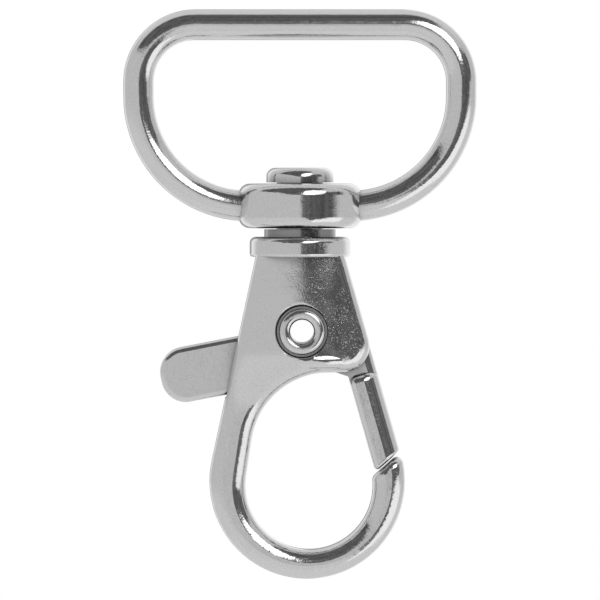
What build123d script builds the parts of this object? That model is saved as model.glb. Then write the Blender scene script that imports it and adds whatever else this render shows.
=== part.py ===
"""Swivel lanyard hook: a strap ring with a collar, a cast hook body on a riveted post, and a sprung gate.

Millimetres. The origin is the middle of the strap bar's axis. +Z is up along the swivel, +X runs along the
strap bar towards the gate's side, and -Y is the front.
"""

import math
import os

from build123d import *

# Strap ring: round wire bent to a D, cast with its collar
ring_wire_diameter = 2.1
ring_inner_width = 20.0
ring_corner_radius = 3.9
ring_side_length = 1.0
ring_lower_radius = 7.5
collar_width = 8.4
collar_depth = 7.2
collar_height = 3.05
collar_edge_radius = 0.75

# Swivel: the hook's post through the collar, with its riveted head
post_diameter = 3.2
post_clearance = 0.08
swivel_play = 0.08
head_diameter = 4.6
head_height = 1.0
head_edge_radius = 0.6
shoulder_diameter = 4.9
shoulder_height = 0.52
flange_diameter = 6.9
flange_height = 1.35
flange_top_radius = 0.4
flange_edge_radius = 0.2

# Hook body seen from the front
neck_width = 5.8
bow_outer_radius = 6.7
limb_width = 2.35
bow_drop = 15.35
bow_shift = 0.5
eye_drop = 0.35
eye_shift = 0.12
arch_growth = 1.05
arch_shift = 1.43
arch_drop = 7.9
cheek_corner_radius = 1.8
nose_edge_radius = 0.45

# Hook body seen from the side
neck_half_depth = 2.415
cheek_half_depth = 2.5
limb_half_depth = 1.5
face_crown_radius = 17.0
face_crown_shift = -0.3
neck_flare_length = 2.5
cheek_end_drop = 6.4
limb_start_drop = 10.6
body_edge_radius = 0.9

# Rounded lip along the lower edge of each cheek
lip_radius = 0.7
lip_height = 0.12
lip_sink = 0.2
lip_rise = 0.85
lip_left = 1.3
lip_right = 3.4

# Gate lever: thumb tab, hub and gate bar
pivot_drop = 5.1
pivot_shift = 0.14
lever_thickness = 1.8
slot_clearance = 0.1
lever_hub_radius = 2.3
gate_inset = 0.05
gate_start = 3.85
gate_reach = 10.3
gate_width = 2.0
gate_depth = 2.6
gate_round_share = 0.8
gate_edge_radius = 0.35
gate_shoulder_radius = 0.6
gate_tip_radius = 0.25
gate_gap = 0.12
nose_face_angle = 42.0
arm_top = 0.7
arm_tip_radius = 0.6
arm_round_share = 0.7
tab_lean = 11.0
tab_reach = 10.1
tab_top = 0.5
tab_bottom = 3.28
tab_root_reach = 3.4
tab_end_radius = 1.7
tab_edge_radius = 0.35
tab_root_share = 0.97
slot_headroom = 2.6
slot_floor_gap = 0.15
slot_root_share = 0.59

# Hollow rivet that the lever turns on
rivet_outer_diameter = 2.3
rivet_bore_diameter = 1.62
rivet_head_diameter = 3.15
rivet_head_height = 0.55
rivet_seat_diameter = 3.45
rivet_seat_depth = 0.35
rivet_seat_mouth_share = 0.9
rivet_fit = 0.02
lever_bore_clearance = 0.05
rivet_roll_share = 0.44

# Torsion spring in the lever's pocket
spring_wire_diameter = 0.28
spring_pitch = 0.31
spring_turns = 2.25
spring_set_angle = 90.0
spring_coil_radius = 1.5
spring_leg_length = 2.6
spring_pocket_radius = 1.95
spring_pocket_depth = 1.15
spring_pocket_gap = 0.1
spring_notch_width = 0.6

# Every cut runs this far past the material
overrun = 2.0

# Places worked out from the sizes above
wire_radius = ring_wire_diameter / 2
ring_half_width = ring_inner_width / 2 + wire_radius
ring_floor_z = -(ring_corner_radius + ring_side_length + ring_lower_radius)
collar_top_z = ring_floor_z + collar_height / 2
collar_bottom_z = ring_floor_z - collar_height / 2
head_base_z = collar_top_z + swivel_play
shoulder_top_z = collar_bottom_z - swivel_play
flange_top_z = shoulder_top_z - shoulder_height
neck_z = flange_top_z - flange_height
pivot = Vector(pivot_shift, neck_z - pivot_drop)
bow_centre = Vector(bow_shift, neck_z - bow_drop)
eye_centre = Vector(bow_shift + eye_shift, bow_centre.Y - eye_drop)
arch_top_z = neck_z - arch_drop
bow_inner_radius = bow_outer_radius - limb_width
arch_radius = bow_inner_radius + arch_growth
arch_centre = Vector(eye_centre.X + arch_shift, arch_top_z - arch_radius)
pivot_axis = Axis((pivot.X, 0, pivot.Y), (0, 1, 0))
slot_width = lever_thickness + 2 * slot_clearance
body_reach = bow_outer_radius + abs(bow_shift) + overrun
blank_half_depth = max(neck_half_depth, cheek_half_depth) + overrun
cheek_face_y = cheek_half_depth - rivet_seat_depth
rivet_wall = (rivet_outer_diameter - rivet_bore_diameter) / 2
rivet_rim = (rivet_head_diameter - rivet_bore_diameter) / 2
rivet_mouth_radius = rivet_seat_depth * rivet_seat_mouth_share


def turned(across, along, angle):
    """Point of the front view that lies across and along from the pivot, in axes turned by angle."""
    return pivot + Vector(across, along).rotate(Axis.Z, angle)


def tangent_from(point, centre, radius, turn):
    """Where the line from a point touches a circle, on the side that turn's sign names."""
    run = point - centre
    angle = turn * math.degrees(math.acos(radius / run.length))
    return centre + run.normalized().rotate(Axis.Z, angle) * radius


def on_nose_line(centre, radius):
    """Where the nose's face line leaves a circle, towards the gate's side."""
    run = nose_point - centre
    along = run.dot(nose_direction)
    return nose_point + nose_direction * (math.sqrt(along**2 - run.length**2 + radius**2) - along)


neck_top_z = neck_z + flange_height / 2
neck_left = Vector(-neck_width / 2, neck_top_z)
neck_right = Vector(neck_width / 2, neck_top_z)
bow_left = tangent_from(neck_left, bow_centre, bow_outer_radius, 1)
bow_right = tangent_from(neck_right, bow_centre, bow_outer_radius, -1)
right_edge = bow_right - neck_right
gate_turn = math.atan2(right_edge.X, -right_edge.Y)
gate_lean = math.degrees(gate_turn)
gate_outer = (bow_right - pivot).dot(Vector(math.cos(gate_turn), math.sin(gate_turn))) - gate_inset
gate_inner = gate_outer - gate_width
gate_offset = (gate_inner + gate_outer) / 2
gate_end_turn = math.radians(nose_face_angle) - gate_turn
gate_end_slope = math.tan(gate_end_turn)
gate_end = gate_gap / math.cos(gate_end_turn) - gate_reach
nose_point = turned(gate_offset, -gate_reach, gate_lean)
nose_direction = Vector(1, 0).rotate(Axis.Z, nose_face_angle)
gate_axis = Axis((pivot.X, 0, pivot.Y), (math.sin(gate_turn), 0, -math.cos(gate_turn)))
nose_outer = on_nose_line(bow_centre, bow_outer_radius)
nose_inner = on_nose_line(eye_centre, bow_inner_radius)
cheek_share = (neck_top_z - arch_top_z) / (neck_top_z - bow_right.Y)
cheek_corner = neck_right + right_edge * cheek_share
arch_top = arch_centre + Vector(0, arch_radius)
eye_run = eye_centre - arch_centre
eye_turn = -math.degrees(math.acos((arch_radius - bow_inner_radius) / eye_run.length))
eye_spoke = eye_run.normalized().rotate(Axis.Z, eye_turn)
arch_left = arch_centre + eye_spoke * arch_radius
eye_left = eye_centre + eye_spoke * bow_inner_radius
arch_spoke = (eye_spoke + Vector(0, 1)).normalized() * arch_radius


def smooth_step(value, start, end):
    """0 at start, 1 at end, with level ends."""
    share = min(1.0, max(0.0, (value - start) / (end - start)))
    return share * share * (3 - 2 * share)


def half_depth(x, z):
    """Half of the hook body's thickness: a crowned neck, thicker cheeks, and a thin limb."""
    crown = (x - face_crown_shift) ** 2 / (2 * face_crown_radius)
    flare = (neck_half_depth - cheek_half_depth) * (1 - smooth_step(neck_z - z, 0, neck_flare_length))
    cheek = cheek_half_depth + flare - crown
    thinning = smooth_step(neck_z - z, cheek_end_drop, limb_start_drop)
    return cheek + (limb_half_depth - cheek) * thinning


lip_z = arch_top_z + lip_rise
lip_start = pivot.X - lip_left
lip_end = pivot.X + lip_right
lip_middle = (lip_start + lip_end) / 2


def lip_point(x, height):
    """Point of the lip's axis, with its crest this high above the cheek's face."""
    return (x, lip_radius - height - half_depth(x, lip_z))


# Strap ring
with BuildPart() as strap_ring:
    with BuildSketch(Plane.XY.offset(collar_bottom_z)):
        Ellipse(collar_width / 2, collar_depth / 2)
    extrude(amount=collar_height)
    fillet(strap_ring.edges().filter_by(Plane.XY), collar_edge_radius)
    with BuildLine(Plane.XZ) as ring_path:
        half_bar = ring_half_width - ring_corner_radius
        half_floor = ring_half_width - ring_lower_radius
        side_top_z = -ring_corner_radius
        bar = Line((-half_bar, 0), (half_bar, 0))
        corner = JernArc(bar @ 1, bar % 1, ring_corner_radius, -90)
        side = Line(corner @ 1, (ring_half_width, side_top_z - ring_side_length))
        lower = JernArc(side @ 1, side % 1, ring_lower_radius, -90)
        floor = Line(lower @ 1, (-half_floor, ring_floor_z))
        far_lower = JernArc(floor @ 1, floor % 1, ring_lower_radius, -90)
        far_side = Line(far_lower @ 1, (-ring_half_width, side_top_z))
        JernArc(far_side @ 1, far_side % 1, ring_corner_radius, -90)
    with BuildSketch(Plane(bar @ 0.5, z_dir=bar % 0.5)):
        Circle(wire_radius)
    sweep(path=ring_path.wire())
    with Locations((0, 0, ring_floor_z)):
        Cylinder(post_diameter / 2 + post_clearance, collar_height + overrun, mode=Mode.SUBTRACT)
strap_ring.part.label = "strap_ring"

# Hook body: outline, crowned faces, swivel post, slot and rivet seats
with BuildPart() as hook_body:
    with BuildSketch(Plane.XZ) as hook_outline:
        with BuildLine():
            Line(neck_left, bow_left)
            ThreePointArc(bow_left, bow_centre - Vector(0, bow_outer_radius), nose_outer)
            Line(nose_outer, nose_inner)
            ThreePointArc(nose_inner, eye_centre - Vector(0, bow_inner_radius), eye_left)
            Line(eye_left, arch_left)
            ThreePointArc(arch_left, arch_centre + arch_spoke, arch_top)
            Line(arch_top, cheek_corner)
            Line(cheek_corner, neck_right)
            Line(neck_right, neck_left)
        make_face()
        fillet(hook_outline.vertices().sort_by_distance(cheek_corner)[0], cheek_corner_radius)
    extrude(amount=blank_half_depth)
    columns = [body_reach * share for share in (-1, -0.75, -0.5, -0.25, 0, 0.25, 0.5, 0.75, 1)]
    body_length = bow_drop + bow_outer_radius + flange_height + overrun
    rows = [neck_z + flange_height - body_length * share / 36 for share in range(37)]
    crowned = Face.make_surface_from_array_of_points(
        [[Vector(x, -half_depth(x, z), z) for z in rows] for x in columns]
    )
    front_block = extrude(crowned, amount=blank_half_depth, dir=(0, 1, 0), mode=Mode.PRIVATE)
    add(front_block, mode=Mode.INTERSECT)
    front_rim = hook_body.faces().sort_by(Axis.Y)[0].edges().sort_by(Axis.Z)[:-1]
    nose_spot = Vector(nose_point.X, -limb_half_depth, nose_point.Y)
    fillet(front_rim.sort_by_distance(nose_spot)[1:], body_edge_radius)
    with BuildLine(Plane.XY.offset(lip_z)):
        lip = ThreePointArc(
            lip_point(lip_start, -lip_sink), lip_point(lip_middle, lip_height), lip_point(lip_end, -lip_sink)
        )
    with BuildSketch(Plane(lip @ 0, z_dir=lip % 0)):
        Circle(lip_radius)
    sweep(path=lip)
    mirror(about=Plane.XZ)
    nose_face = hook_body.faces().sort_by_distance(Vector(nose_point.X, 0, nose_point.Y))[0]
    fillet(nose_face.edges(), nose_edge_radius)
    with BuildSketch(Plane.XZ) as swivel_profile:
        with Locations((0, neck_z)):
            Rectangle(flange_diameter / 2, flange_height, align=Align.MIN)
        with Locations((0, neck_z)):
            Rectangle(shoulder_diameter / 2, shoulder_top_z - neck_z, align=Align.MIN)
        with Locations((0, neck_z)):
            Rectangle(post_diameter / 2, head_base_z + head_height - neck_z, align=Align.MIN)
        with Locations((0, head_base_z)):
            Rectangle(head_diameter / 2, head_height, align=Align.MIN)
        fillet(swivel_profile.vertices().group_by(Axis.X)[-1].sort_by(Axis.Y)[-1], flange_top_radius)
        fillet(swivel_profile.vertices().group_by(Axis.X)[-1].sort_by(Axis.Y)[0], flange_edge_radius)
        fillet(swivel_profile.vertices().group_by(Axis.Y)[-1].sort_by(Axis.X)[-1], head_edge_radius)
    revolve(axis=Axis.Z)
    with BuildSketch(Plane.XZ):
        floor_n = -(tab_bottom + slot_floor_gap)
        web_end = turned(-tab_root_reach * slot_root_share, floor_n, tab_lean)
        with BuildLine():
            Polyline(
                (-body_reach, pivot.Y + slot_headroom),
                (body_reach, pivot.Y + slot_headroom),
                (body_reach, web_end.Y),
                web_end,
                turned(-body_reach, floor_n, tab_lean),
                close=True,
            )
        make_face()
    extrude(amount=slot_width / 2, both=True, mode=Mode.SUBTRACT)
    with Locations(Plane((pivot.X, 0, pivot.Y), z_dir=(0, -1, 0))):
        Hole(rivet_outer_diameter / 2 + rivet_fit)
    with BuildSketch(Plane((pivot.X, 0, pivot.Y))):
        seat_radius = rivet_seat_diameter / 2
        with BuildLine():
            wall = Polyline(
                (0, cheek_half_depth + overrun),
                (0, cheek_face_y),
                (seat_radius, cheek_face_y),
                (seat_radius, cheek_half_depth - rivet_mouth_radius),
            )
            mouth = JernArc(wall @ 1, wall % 1, rivet_mouth_radius, -90)
            Polyline(mouth @ 1, (seat_radius + rivet_mouth_radius, cheek_half_depth + overrun), wall @ 0)
        make_face()
        mirror(about=Plane.XZ)
    revolve(axis=pivot_axis, mode=Mode.SUBTRACT)
hook_body.part.label = "hook_body"

# Gate lever: hub and arm plate, thumb tab, gate bar, bore and spring pocket
with BuildPart() as gate_lever:
    with BuildSketch(Plane.XZ) as lever_plate:
        with BuildLine():
            Polyline(
                turned(0, arm_top, gate_lean),
                turned(gate_outer, arm_top, gate_lean),
                turned(gate_outer, -gate_start - gate_width / 2, gate_lean),
                turned(gate_inner, -gate_start - gate_width / 2, gate_lean),
                turned(gate_inner, -gate_start, gate_lean),
                turned(0, -lever_hub_radius, gate_lean),
                close=True,
            )
        make_face()
        arm_tip = turned(gate_outer, arm_top, gate_lean)
        fillet(lever_plate.vertices().sort_by_distance(arm_tip)[0], arm_tip_radius)
        with Locations(pivot):
            Circle(lever_hub_radius)
    extrude(amount=lever_thickness / 2, both=True)
    arm_rims = gate_lever.edges().filter_by(gate_axis).sort_by(Axis.X)[-2:]
    fillet(arm_rims, lever_thickness / 2 * arm_round_share)
    with BuildPart(mode=Mode.PRIVATE) as thumb_tab:
        with BuildSketch(Plane.XZ) as tab_outline:
            with BuildLine():
                Polyline(
                    turned(0, tab_top, tab_lean),
                    turned(-tab_reach, tab_top, tab_lean),
                    turned(-tab_reach, -tab_bottom, tab_lean),
                    turned(-tab_root_reach, -tab_bottom, tab_lean),
                    turned(0, -lever_hub_radius * tab_root_share, tab_lean),
                    close=True,
                )
            make_face()
            tab_middle = turned(-tab_reach, (tab_top - tab_bottom) / 2, tab_lean)
            fillet(tab_outline.vertices().sort_by_distance(tab_middle)[:2], tab_end_radius)
        extrude(amount=lever_thickness / 2, both=True)
        tab_rims = thumb_tab.faces().filter_by(Plane.XZ).edges()
        hub_middle = Vector(pivot.X, 0, pivot.Y)
        tab_rims = tab_rims.filter_by(lambda rim: (rim.center() - hub_middle).length > tab_root_reach)
        fillet(tab_rims, tab_edge_radius)
    add(thumb_tab.part)
    with BuildPart(mode=Mode.PRIVATE) as gate_bar:
        with BuildSketch(Plane.XZ):
            with BuildLine():
                Polyline(
                    turned(gate_inner, -gate_start, gate_lean),
                    turned(gate_outer, -gate_start, gate_lean),
                    turned(gate_outer, gate_end + gate_width / 2 * gate_end_slope, gate_lean),
                    turned(gate_inner, gate_end - gate_width / 2 * gate_end_slope, gate_lean),
                    close=True,
                )
            make_face()
        extrude(amount=gate_depth / 2, both=True)
        gate_edges = gate_bar.edges().filter_by(gate_axis).sort_by(Axis.X)
        fillet(gate_edges[2:], gate_depth / 2 * gate_round_share)
        fillet(gate_edges[:2], gate_edge_radius)
        gate_ends = gate_bar.faces().sort_by(gate_axis)
        fillet(gate_ends[0].edges(), gate_shoulder_radius)
        fillet(gate_bar.faces().sort_by(gate_axis)[-1].edges(), gate_tip_radius)
    add(gate_bar.part)
    with Locations(Plane((pivot.X, 0, pivot.Y), z_dir=(0, -1, 0))):
        Hole(rivet_outer_diameter / 2 + lever_bore_clearance)
    with BuildSketch(Plane.XZ.offset(-lever_thickness / 2)):
        with Locations(pivot):
            Circle(spring_pocket_radius)
        with Locations(pivot - Vector(spring_notch_width / 2, 0)):
            notch_reach = spring_pocket_radius + spring_notch_width / 2
            Rectangle(notch_reach, lever_hub_radius + overrun, align=Align.MIN)
        with Locations(pivot - Vector(0, spring_coil_radius)):
            notch_length = spring_leg_length + spring_notch_width
            Rectangle(notch_length, spring_notch_width, align=(Align.MAX, Align.CENTER))
    extrude(amount=spring_pocket_depth, mode=Mode.SUBTRACT)
gate_lever.part.label = "gate_lever"

# Hollow rivet with rolled ends
with BuildPart() as pivot_rivet:
    with BuildSketch(Plane((pivot.X, 0, pivot.Y))) as rivet_half:
        with Locations((rivet_bore_diameter / 2, 0)):
            Rectangle(rivet_wall, 2 * cheek_face_y, align=(Align.MIN, Align.CENTER))
        for side_sign in (-1, 1):
            with Locations((rivet_bore_diameter / 2, side_sign * (cheek_face_y + rivet_head_height / 2))):
                Rectangle(rivet_rim, rivet_head_height, align=(Align.MIN, Align.CENTER))
        rolled = rivet_half.vertices().group_by(Axis.Y)
        fillet(rolled[0] + rolled[-1], rivet_rim * rivet_roll_share)
    revolve(axis=pivot_axis)
pivot_rivet.part.label = "pivot_rivet"

# Torsion spring: one leg up against the slot's roof, one along the lever
with BuildPart() as torsion_spring:
    spring_stop_length = slot_headroom - spring_pocket_gap
    spring_front = spring_pocket_depth - lever_thickness / 2 - spring_wire_diameter / 2 - spring_pocket_gap
    with BuildLine() as spring_path:
        coil = Helix(
            spring_pitch,
            spring_pitch * spring_turns,
            spring_coil_radius,
            center=(pivot.X, -spring_front, pivot.Y),
            direction=(0, 1, 0),
        )
        Line(coil @ 0 - (coil % 0) * spring_stop_length, coil @ 0)
        Line(coil @ 1, coil @ 1 + (coil % 1) * spring_leg_length)
    spring_wire = spring_path.wire().rotate(pivot_axis, spring_set_angle)
    with BuildSketch(Plane(spring_wire @ 0, z_dir=spring_wire % 0)):
        Circle(spring_wire_diameter / 2)
    sweep(path=spring_wire, is_frenet=True)
torsion_spring.part.label = "torsion_spring"

os.makedirs("parts", exist_ok=True)
export_step(strap_ring.part, "parts/strap_ring.step")
export_step(hook_body.part, "parts/hook_body.step")
export_step(gate_lever.part, "parts/gate_lever.step")
export_step(pivot_rivet.part, "parts/pivot_rivet.step")
export_step(torsion_spring.part, "parts/torsion_spring.step")
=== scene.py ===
"""Looks of the swivel lanyard hook: polished nickel plate on cast zinc, in a white studio."""

import math

import bpy
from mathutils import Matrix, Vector


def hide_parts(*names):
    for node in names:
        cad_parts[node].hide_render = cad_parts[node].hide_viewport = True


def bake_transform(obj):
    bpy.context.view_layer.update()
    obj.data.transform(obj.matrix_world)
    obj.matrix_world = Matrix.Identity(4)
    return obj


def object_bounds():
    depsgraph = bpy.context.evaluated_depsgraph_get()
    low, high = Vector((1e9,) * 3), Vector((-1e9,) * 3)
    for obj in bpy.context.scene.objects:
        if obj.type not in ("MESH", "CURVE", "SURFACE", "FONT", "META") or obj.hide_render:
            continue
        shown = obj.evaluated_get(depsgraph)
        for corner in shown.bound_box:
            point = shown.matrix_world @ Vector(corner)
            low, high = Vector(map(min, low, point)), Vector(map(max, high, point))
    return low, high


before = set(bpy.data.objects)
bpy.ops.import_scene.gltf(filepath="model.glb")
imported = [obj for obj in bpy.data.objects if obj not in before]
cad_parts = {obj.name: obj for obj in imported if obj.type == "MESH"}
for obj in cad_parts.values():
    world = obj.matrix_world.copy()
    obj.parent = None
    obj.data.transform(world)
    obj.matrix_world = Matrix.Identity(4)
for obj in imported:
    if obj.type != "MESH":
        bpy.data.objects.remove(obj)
cad_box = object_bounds()
MM = 0.001
WHITE = (1.0, 1.0, 1.0, 1.0)

# Camera: long lens, square to the front, just above level
PHOTO_WIDTH = 41.1 * MM
CAMERA_DISTANCE = 0.6
CAMERA_ELEVATION = math.radians(1.0)
CAMERA_SENSOR = 36.0
CAMERA_CLIP = (0.01, 10.0)
VIEW_CENTRE = Vector((0.0, 0.0, -18.85 * MM))

# Levels of the studio's light
GREY_WALL = 0.60
LOW_WALL = 0.69
WHITE_BACK = 1.0
DARK_ROOM = (0.05, 0.2)
DIM_BACK = 0.4
CARD_LEVEL = 1.05
CEILING_LEVEL = 0.72
SOFTBOX_LEVEL = 2.0
PLAIN_LIGHT = 1.0

# Edges of the studio's zones, each from nothing to full, in parts of the unit direction seen from the hook
LOW_WALL_UP = (0.0, -0.3)
WHITE_BACK_NEAR = (-0.4, -0.85)
RIGHT_ROOM_RIGHT = (0.03, 0.07)
RIGHT_ROOM_NEAR = (0.28, 0.4)
RIGHT_ROOM_FOOT = (-0.8, -0.72)
RIGHT_ROOM_SIDE = (-0.09, -0.03)
UPPER_ROOM_UP = (0.045, 0.08)
UPPER_ROOM_SIDE = (0.05, 0.085)
UPPER_ROOM_NEAR = (0.08, 0.22)
PALE_CORNER_RIGHT = (0.42, 0.55)
PALE_CORNER_UP = (0.36, 0.5)
CARD_TOP = (-0.05, -0.12)
CARD_SIDE = (0.0, 0.15)
CARD_RIGHT = (0.4, 0.5)
CARD_FOOT = (-0.76, -0.84)
CARD_NEAR = (0.1, 0.25)
CEILING_UP = (0.5, 0.7)
CEILING_NEAR = (0.12, -0.05)
DIM_BACK_RIGHT = (0.06, 0.0)
DIM_BACK_NEAR = (-0.8, -0.9)

# Slopes of the slanted edges among them
FOOT_SLOPE = -0.84
RIGHT_ROOM_SLOPE = 1.15
UPPER_ROOM_SLOPE = 0.47
CARD_SLOPE = 1.2

# Uneven darkness in the room
ROOM_CLUTTER_SCALE = 12.0
ROOM_CLUTTER = (0.35, 0.7)

# Soft box: an oval with two straight ends
SOFTBOX_TILT = math.radians(34)
SOFTBOX_TURN = math.radians(50)
SOFTBOX_HALF_LENGTH = math.sin(math.radians(22))
SOFTBOX_HALF_WIDTH = math.sin(math.radians(16))
SOFTBOX_RIM = (1.08, 0.92)
SOFTBOX_END = (0.0, 0.03)
SOFTBOX_LEFT_SLOPE = -0.18
SOFTBOX_RIGHT_SLOPE = -0.38
SOFTBOX_NEAR = (0.0, 0.1)

# White card that stands in front of the hook, low on the right: corners as x and z
LOW_CARD_DISTANCE = 60 * MM
LOW_CARD_CORNERS = ((25, -37), (70, -31.5), (140, -31), (140, -90), (25, -90))

# Floor
FLOOR_DROP = 60 * MM
FLOOR_RADIUS = 0.14
FLOOR_SIDES = 96
FLOOR_FADE = 0.05
FLOOR_GREY = 0.72
FLOOR_ROUGHNESS = 0.8

# Nickel plate: scales of its noises, and depths of the relief that they give
WAVE_SCALE = 700.0
WAVE_DEPTH = 0.05 * MM
PEEL_SCALE = 3000.0
GRAIN_SCALE = 9000.0
GRAIN_DETAIL = 3.0
GRAIN_DEPTH = 0.008 * MM
CLOUD_SCALE = 2500.0
POLISH_SHARES = (0.6, 1.4)

# Pits, painted shade in crevices, and specks in the plate
PIT_ONSET = (0.5, 0.72)
PIT_PATCH_SCALE = 300.0
PIT_PATCH = (0.42, 0.62)
PIT_ROUGHNESS = 0.36
# Painted crevice shade: how far the occlusion looks, and how dark it paints the colour
PAINTED_SHADE_REACH = 1.2 * MM
PAINTED_SHADE_SAMPLES = 8
PAINTED_SHADE_OPEN = (0.3, 0.95)
PAINTED_SHADE_SHARE = 0.3
SPECK_ONSET = (0.3, 0.7)
SPECK_SHADE = 0.88


class Nodes:
    """Short names for the shader nodes that the materials and the world share."""

    def __init__(self, tree):
        self.tree = tree
        tree.nodes.clear()

    def new(self, kind, **settings):
        node = self.tree.nodes.new(kind)
        for name, value in settings.items():
            setattr(node, name, value)
        return node

    def link(self, source, target):
        self.tree.links.new(source, target)

    def fill(self, sockets, values):
        """Set each socket to a number, or link it to another socket."""
        for socket, value in zip(sockets, values):
            if isinstance(value, (int, float)):
                socket.default_value = value
            else:
                self.link(value, socket)

    def math(self, operation, *values):
        node = self.new("ShaderNodeMath", operation=operation)
        self.fill(node.inputs, values)
        return node.outputs[0]

    def product(self, first, *others):
        for value in others:
            first = self.math("MULTIPLY", first, value)
        return first

    def slant(self, across, slope, along):
        """A measure whose steps are slanted edges."""
        return self.math("MULTIPLY_ADD", across, slope, along)

    def step(self, value, low, high):
        """0 at low and 1 at high, smooth between."""
        node = self.new("ShaderNodeMapRange", interpolation_type="SMOOTHSTEP")
        self.link(value, node.inputs["Value"])
        node.inputs["From Min"].default_value = low
        node.inputs["From Max"].default_value = high
        return node.outputs["Result"]

    def mix(self, factor, first, second):
        """A number between first and second."""
        node = self.new("ShaderNodeMix", data_type="FLOAT")
        self.fill(node.inputs[:1] + node.inputs[2:4], (factor, first, second))
        return node.outputs[0]

    def dot(self, vector, fixed):
        node = self.new("ShaderNodeVectorMath", operation="DOT_PRODUCT")
        self.link(vector, node.inputs[0])
        node.inputs[1].default_value = fixed
        return node.outputs["Value"]

    def bump(self, height, strength, depth, below=None):
        node = self.new("ShaderNodeBump")
        node.inputs["Strength"].default_value = strength
        node.inputs["Distance"].default_value = depth
        self.link(height, node.inputs["Height"])
        if below is not None:
            self.link(below, node.inputs["Normal"])
        return node.outputs["Normal"]

    def noise(self, coordinates, scale, detail=2.0):
        node = self.new("ShaderNodeTexNoise")
        self.link(coordinates, node.inputs["Vector"])
        node.inputs["Scale"].default_value = scale
        node.inputs["Detail"].default_value = detail
        return node.outputs["Fac"]


def new_material(name):
    """An empty material and its nodes."""
    material = bpy.data.materials.new(name)
    material.use_nodes = True
    return material, Nodes(material.node_tree)


def build_softbox(n, direction, right, near, up):
    """Where the soft box is seen."""
    along = Vector((math.cos(SOFTBOX_TURN), 0, math.sin(SOFTBOX_TURN)))
    length_axis = along * math.cos(SOFTBOX_TILT) + Vector((0, math.sin(SOFTBOX_TILT), 0))
    width_axis = Vector((-along.z, 0, along.x))
    length_part = n.math("POWER", n.dot(direction, length_axis / SOFTBOX_HALF_LENGTH), 2.0)
    width_part = n.math("POWER", n.dot(direction, width_axis / SOFTBOX_HALF_WIDTH), 2.0)
    oval = n.step(n.math("ADD", length_part, width_part), *SOFTBOX_RIM)
    left_end = n.step(n.slant(up, SOFTBOX_LEFT_SLOPE, right), *SOFTBOX_END)
    right_end = n.step(n.slant(right, SOFTBOX_RIGHT_SLOPE, up), *SOFTBOX_END)
    return n.product(oval, left_end, right_end, n.step(near, *SOFTBOX_NEAR))


def build_world():
    """White behind, light grey walls, a dark room above and right of the camera, and one soft box in it."""
    world = bpy.data.worlds.new("studio")
    bpy.context.scene.world = world
    world.use_nodes = True
    n = Nodes(world.node_tree)
    direction = n.new("ShaderNodeTexCoord").outputs["Generated"]
    split = n.new("ShaderNodeSeparateXYZ")
    n.link(direction, split.inputs[0])
    right, away, up = split.outputs
    near = n.math("MULTIPLY", away, -1.0)

    above_foot = n.slant(right, FOOT_SLOPE, up)
    right_room = n.product(
        n.step(above_foot, *RIGHT_ROOM_FOOT),
        n.step(n.slant(right, RIGHT_ROOM_SLOPE, up), *RIGHT_ROOM_SIDE),
        n.step(right, *RIGHT_ROOM_RIGHT),
        n.step(near, *RIGHT_ROOM_NEAR),
    )
    upper_room = n.product(
        n.step(up, *UPPER_ROOM_UP),
        n.step(n.slant(right, UPPER_ROOM_SLOPE, up), *UPPER_ROOM_SIDE),
        n.step(near, *UPPER_ROOM_NEAR),
    )
    pale_corner = n.product(n.step(right, *PALE_CORNER_RIGHT), n.step(up, *PALE_CORNER_UP))
    room = n.product(n.math("MAXIMUM", right_room, upper_room), n.math("SUBTRACT", 1.0, pale_corner))
    room_level = n.mix(n.step(n.noise(direction, ROOM_CLUTTER_SCALE), *ROOM_CLUTTER), *DARK_ROOM)
    card = n.product(
        n.step(up, *CARD_TOP),
        n.step(n.slant(right, CARD_SLOPE, up), *CARD_SIDE),
        n.step(right, *CARD_RIGHT),
        n.step(above_foot, *CARD_FOOT),
        n.step(near, *CARD_NEAR),
    )
    ceiling = n.product(n.step(up, *CEILING_UP), n.step(near, *CEILING_NEAR))
    dim_back = n.product(n.step(right, *DIM_BACK_RIGHT), n.step(near, *DIM_BACK_NEAR))

    level = n.mix(n.step(up, *LOW_WALL_UP), GREY_WALL, LOW_WALL)
    level = n.mix(n.step(near, *WHITE_BACK_NEAR), level, WHITE_BACK)
    for zone, zone_level in (
        (ceiling, CEILING_LEVEL),
        (dim_back, DIM_BACK),
        (room, room_level),
        (card, CARD_LEVEL),
        (build_softbox(n, direction, right, near, up), SOFTBOX_LEVEL),
    ):
        level = n.mix(zone, level, zone_level)

    rays = n.new("ShaderNodeLightPath").outputs
    seen = n.math("MAXIMUM", rays["Is Camera Ray"], rays["Is Transmission Ray"])
    background = n.new("ShaderNodeBackground")
    background.inputs["Color"].default_value = WHITE
    level = n.mix(rays["Is Diffuse Ray"], level, PLAIN_LIGHT)
    n.link(n.mix(seen, level, WHITE_BACK), background.inputs["Strength"])
    n.link(background.outputs[0], n.new("ShaderNodeOutputWorld").inputs["Surface"])


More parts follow.
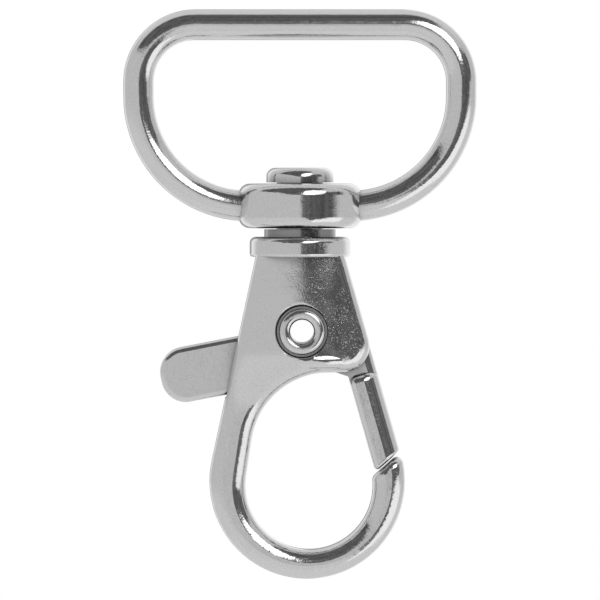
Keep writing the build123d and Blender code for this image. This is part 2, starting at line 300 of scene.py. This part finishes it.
def nickel(name, grey, roughness, wave, grain, pitting):
    """Plated metal: slow waves left by casting, a fine grain, dull pits in patches, and painted shade
    darkening its crevices.
    """
    material, n = new_material(name)
    place = n.new("ShaderNodeTexCoord").outputs["Object"]
    grains = n.noise(place, GRAIN_SCALE, GRAIN_DETAIL)
    surface = n.bump(n.noise(place, WAVE_SCALE), wave, WAVE_DEPTH)
    surface = n.bump(n.noise(place, PEEL_SCALE), grain, GRAIN_DEPTH, surface)
    surface = n.bump(grains, grain, GRAIN_DEPTH, surface)

    # Painted shade: ambient occlusion darkens the base colour in crevices and between parts, in place of
    # the shade that falls there
    shade_probe = n.new("ShaderNodeAmbientOcclusion", samples=PAINTED_SHADE_SAMPLES)
    shade_probe.inputs["Distance"].default_value = PAINTED_SHADE_REACH
    unshaded = n.step(shade_probe.outputs["AO"], *PAINTED_SHADE_OPEN)
    specks = n.mix(n.step(grains, *SPECK_ONSET), SPECK_SHADE, 1.0)
    tint = n.new("ShaderNodeMix", data_type="RGBA")
    factor, painted_shade_colour, open_colour = tint.inputs[0], tint.inputs[6], tint.inputs[7]
    n.link(n.math("MULTIPLY", unshaded, specks), factor)
    painted_shade_grey = PAINTED_SHADE_SHARE * grey
    painted_shade_colour.default_value = (painted_shade_grey, painted_shade_grey, painted_shade_grey, 1.0)
    open_colour.default_value = (grey, grey, grey, 1.0)

    polish = n.mix(n.noise(place, CLOUD_SCALE), *(roughness * share for share in POLISH_SHARES))
    patches = n.step(n.noise(place, PIT_PATCH_SCALE), *PIT_PATCH)
    pits = n.product(n.step(grains, *PIT_ONSET), patches, pitting)
    shader = n.new("ShaderNodeBsdfPrincipled")
    shader.inputs["Metallic"].default_value = 1.0
    n.link(tint.outputs[2], shader.inputs["Base Color"])
    n.link(n.mix(pits, polish, PIT_ROUGHNESS), shader.inputs["Roughness"])
    n.link(surface, shader.inputs["Normal"])
    n.link(shader.outputs[0], n.new("ShaderNodeOutputMaterial").inputs["Surface"])
    return material


def dress(node, material):
    """Give a CAD node its material."""
    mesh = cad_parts[node].data
    mesh.materials.clear()
    mesh.materials.append(material)


def build_spring(material):
    """The torsion spring's wire, which twists between its leg in the hook and its leg in the gate."""
    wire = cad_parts["torsion_spring"].data.copy()
    wire.materials.clear()
    wire.materials.append(material)
    spring = bpy.data.objects.new("spring_wire", wire)
    bpy.context.scene.collection.objects.link(spring)
    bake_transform(spring)
    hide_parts("torsion_spring")


def build_floor():
    """Pale round floor under the hanging hook, fading out at its rim."""
    hook_foot = cad_box[0][2]
    bpy.ops.mesh.primitive_circle_add(
        vertices=FLOOR_SIDES, radius=FLOOR_RADIUS, fill_type="NGON", location=(0, 0, hook_foot - FLOOR_DROP)
    )
    floor = bpy.context.object
    floor.name = "floor"
    material, n = new_material("pale_floor")
    shader = n.new("ShaderNodeBsdfPrincipled")
    shader.inputs["Base Color"].default_value = (FLOOR_GREY, FLOOR_GREY, FLOOR_GREY, 1.0)
    shader.inputs["Roughness"].default_value = FLOOR_ROUGHNESS
    reach = n.new("ShaderNodeVectorMath", operation="LENGTH")
    n.link(n.new("ShaderNodeTexCoord").outputs["Object"], reach.inputs[0])
    faded = n.new("ShaderNodeMixShader")
    n.link(n.step(reach.outputs["Value"], FLOOR_FADE, FLOOR_RADIUS), faded.inputs[0])
    n.link(shader.outputs[0], faded.inputs[1])
    n.link(n.new("ShaderNodeBsdfTransparent").outputs[0], faded.inputs[2])
    n.link(faded.outputs[0], n.new("ShaderNodeOutputMaterial").inputs["Surface"])
    floor.data.materials.append(material)


def build_low_card():
    """White card that stands low on the right, seen only in the metal."""
    mesh = bpy.data.meshes.new("low_card")
    points = [(x * MM, -LOW_CARD_DISTANCE, z * MM) for x, z in LOW_CARD_CORNERS]
    mesh.from_pydata(points, [], [range(len(points))])
    material, n = new_material("white_card")
    glow = n.new("ShaderNodeEmission")
    glow.inputs["Strength"].default_value = CARD_LEVEL
    n.link(glow.outputs[0], n.new("ShaderNodeOutputMaterial").inputs["Surface"])
    mesh.materials.append(material)
    card = bpy.data.objects.new("low_card", mesh)
    bpy.context.scene.collection.objects.link(card)
    card.visible_camera = False
    card.visible_diffuse = False
    card.visible_shadow = False


def build_camera():
    """The photograph's view."""
    data = bpy.data.cameras.new("camera")
    data.sensor_width = CAMERA_SENSOR
    data.lens = CAMERA_SENSOR * CAMERA_DISTANCE / PHOTO_WIDTH
    data.clip_start, data.clip_end = CAMERA_CLIP
    camera = bpy.data.objects.new("camera", data)
    bpy.context.scene.collection.objects.link(camera)
    back = Vector((0, -math.cos(CAMERA_ELEVATION), math.sin(CAMERA_ELEVATION)))
    camera.location = VIEW_CENTRE + back * CAMERA_DISTANCE
    camera.rotation_euler = (math.pi / 2 - CAMERA_ELEVATION, 0, 0)
    bpy.context.scene.camera = camera


build_world()
build_floor()
build_low_card()
build_camera()
cast = nickel("cast_nickel", grey=0.80, roughness=0.10, wave=0.2, grain=0.4, pitting=1.0)
smooth = nickel("smooth_nickel", grey=0.80, roughness=0.10, wave=0.25, grain=0.45, pitting=0.3)
rolled = nickel("rolled_nickel", grey=0.78, roughness=0.12, wave=0.15, grain=0.45, pitting=0.3)
for node, material in (
    ("strap_ring", smooth),
    ("hook_body", cast),
    ("gate_lever", smooth),
    ("pivot_rivet", rolled),
):
    dress(node, material)
build_spring(nickel("spring_steel", grey=0.55, roughness=0.25, wave=0.1, grain=0.1, pitting=0.3))
bpy.context.scene.view_settings.view_transform = "Standard"
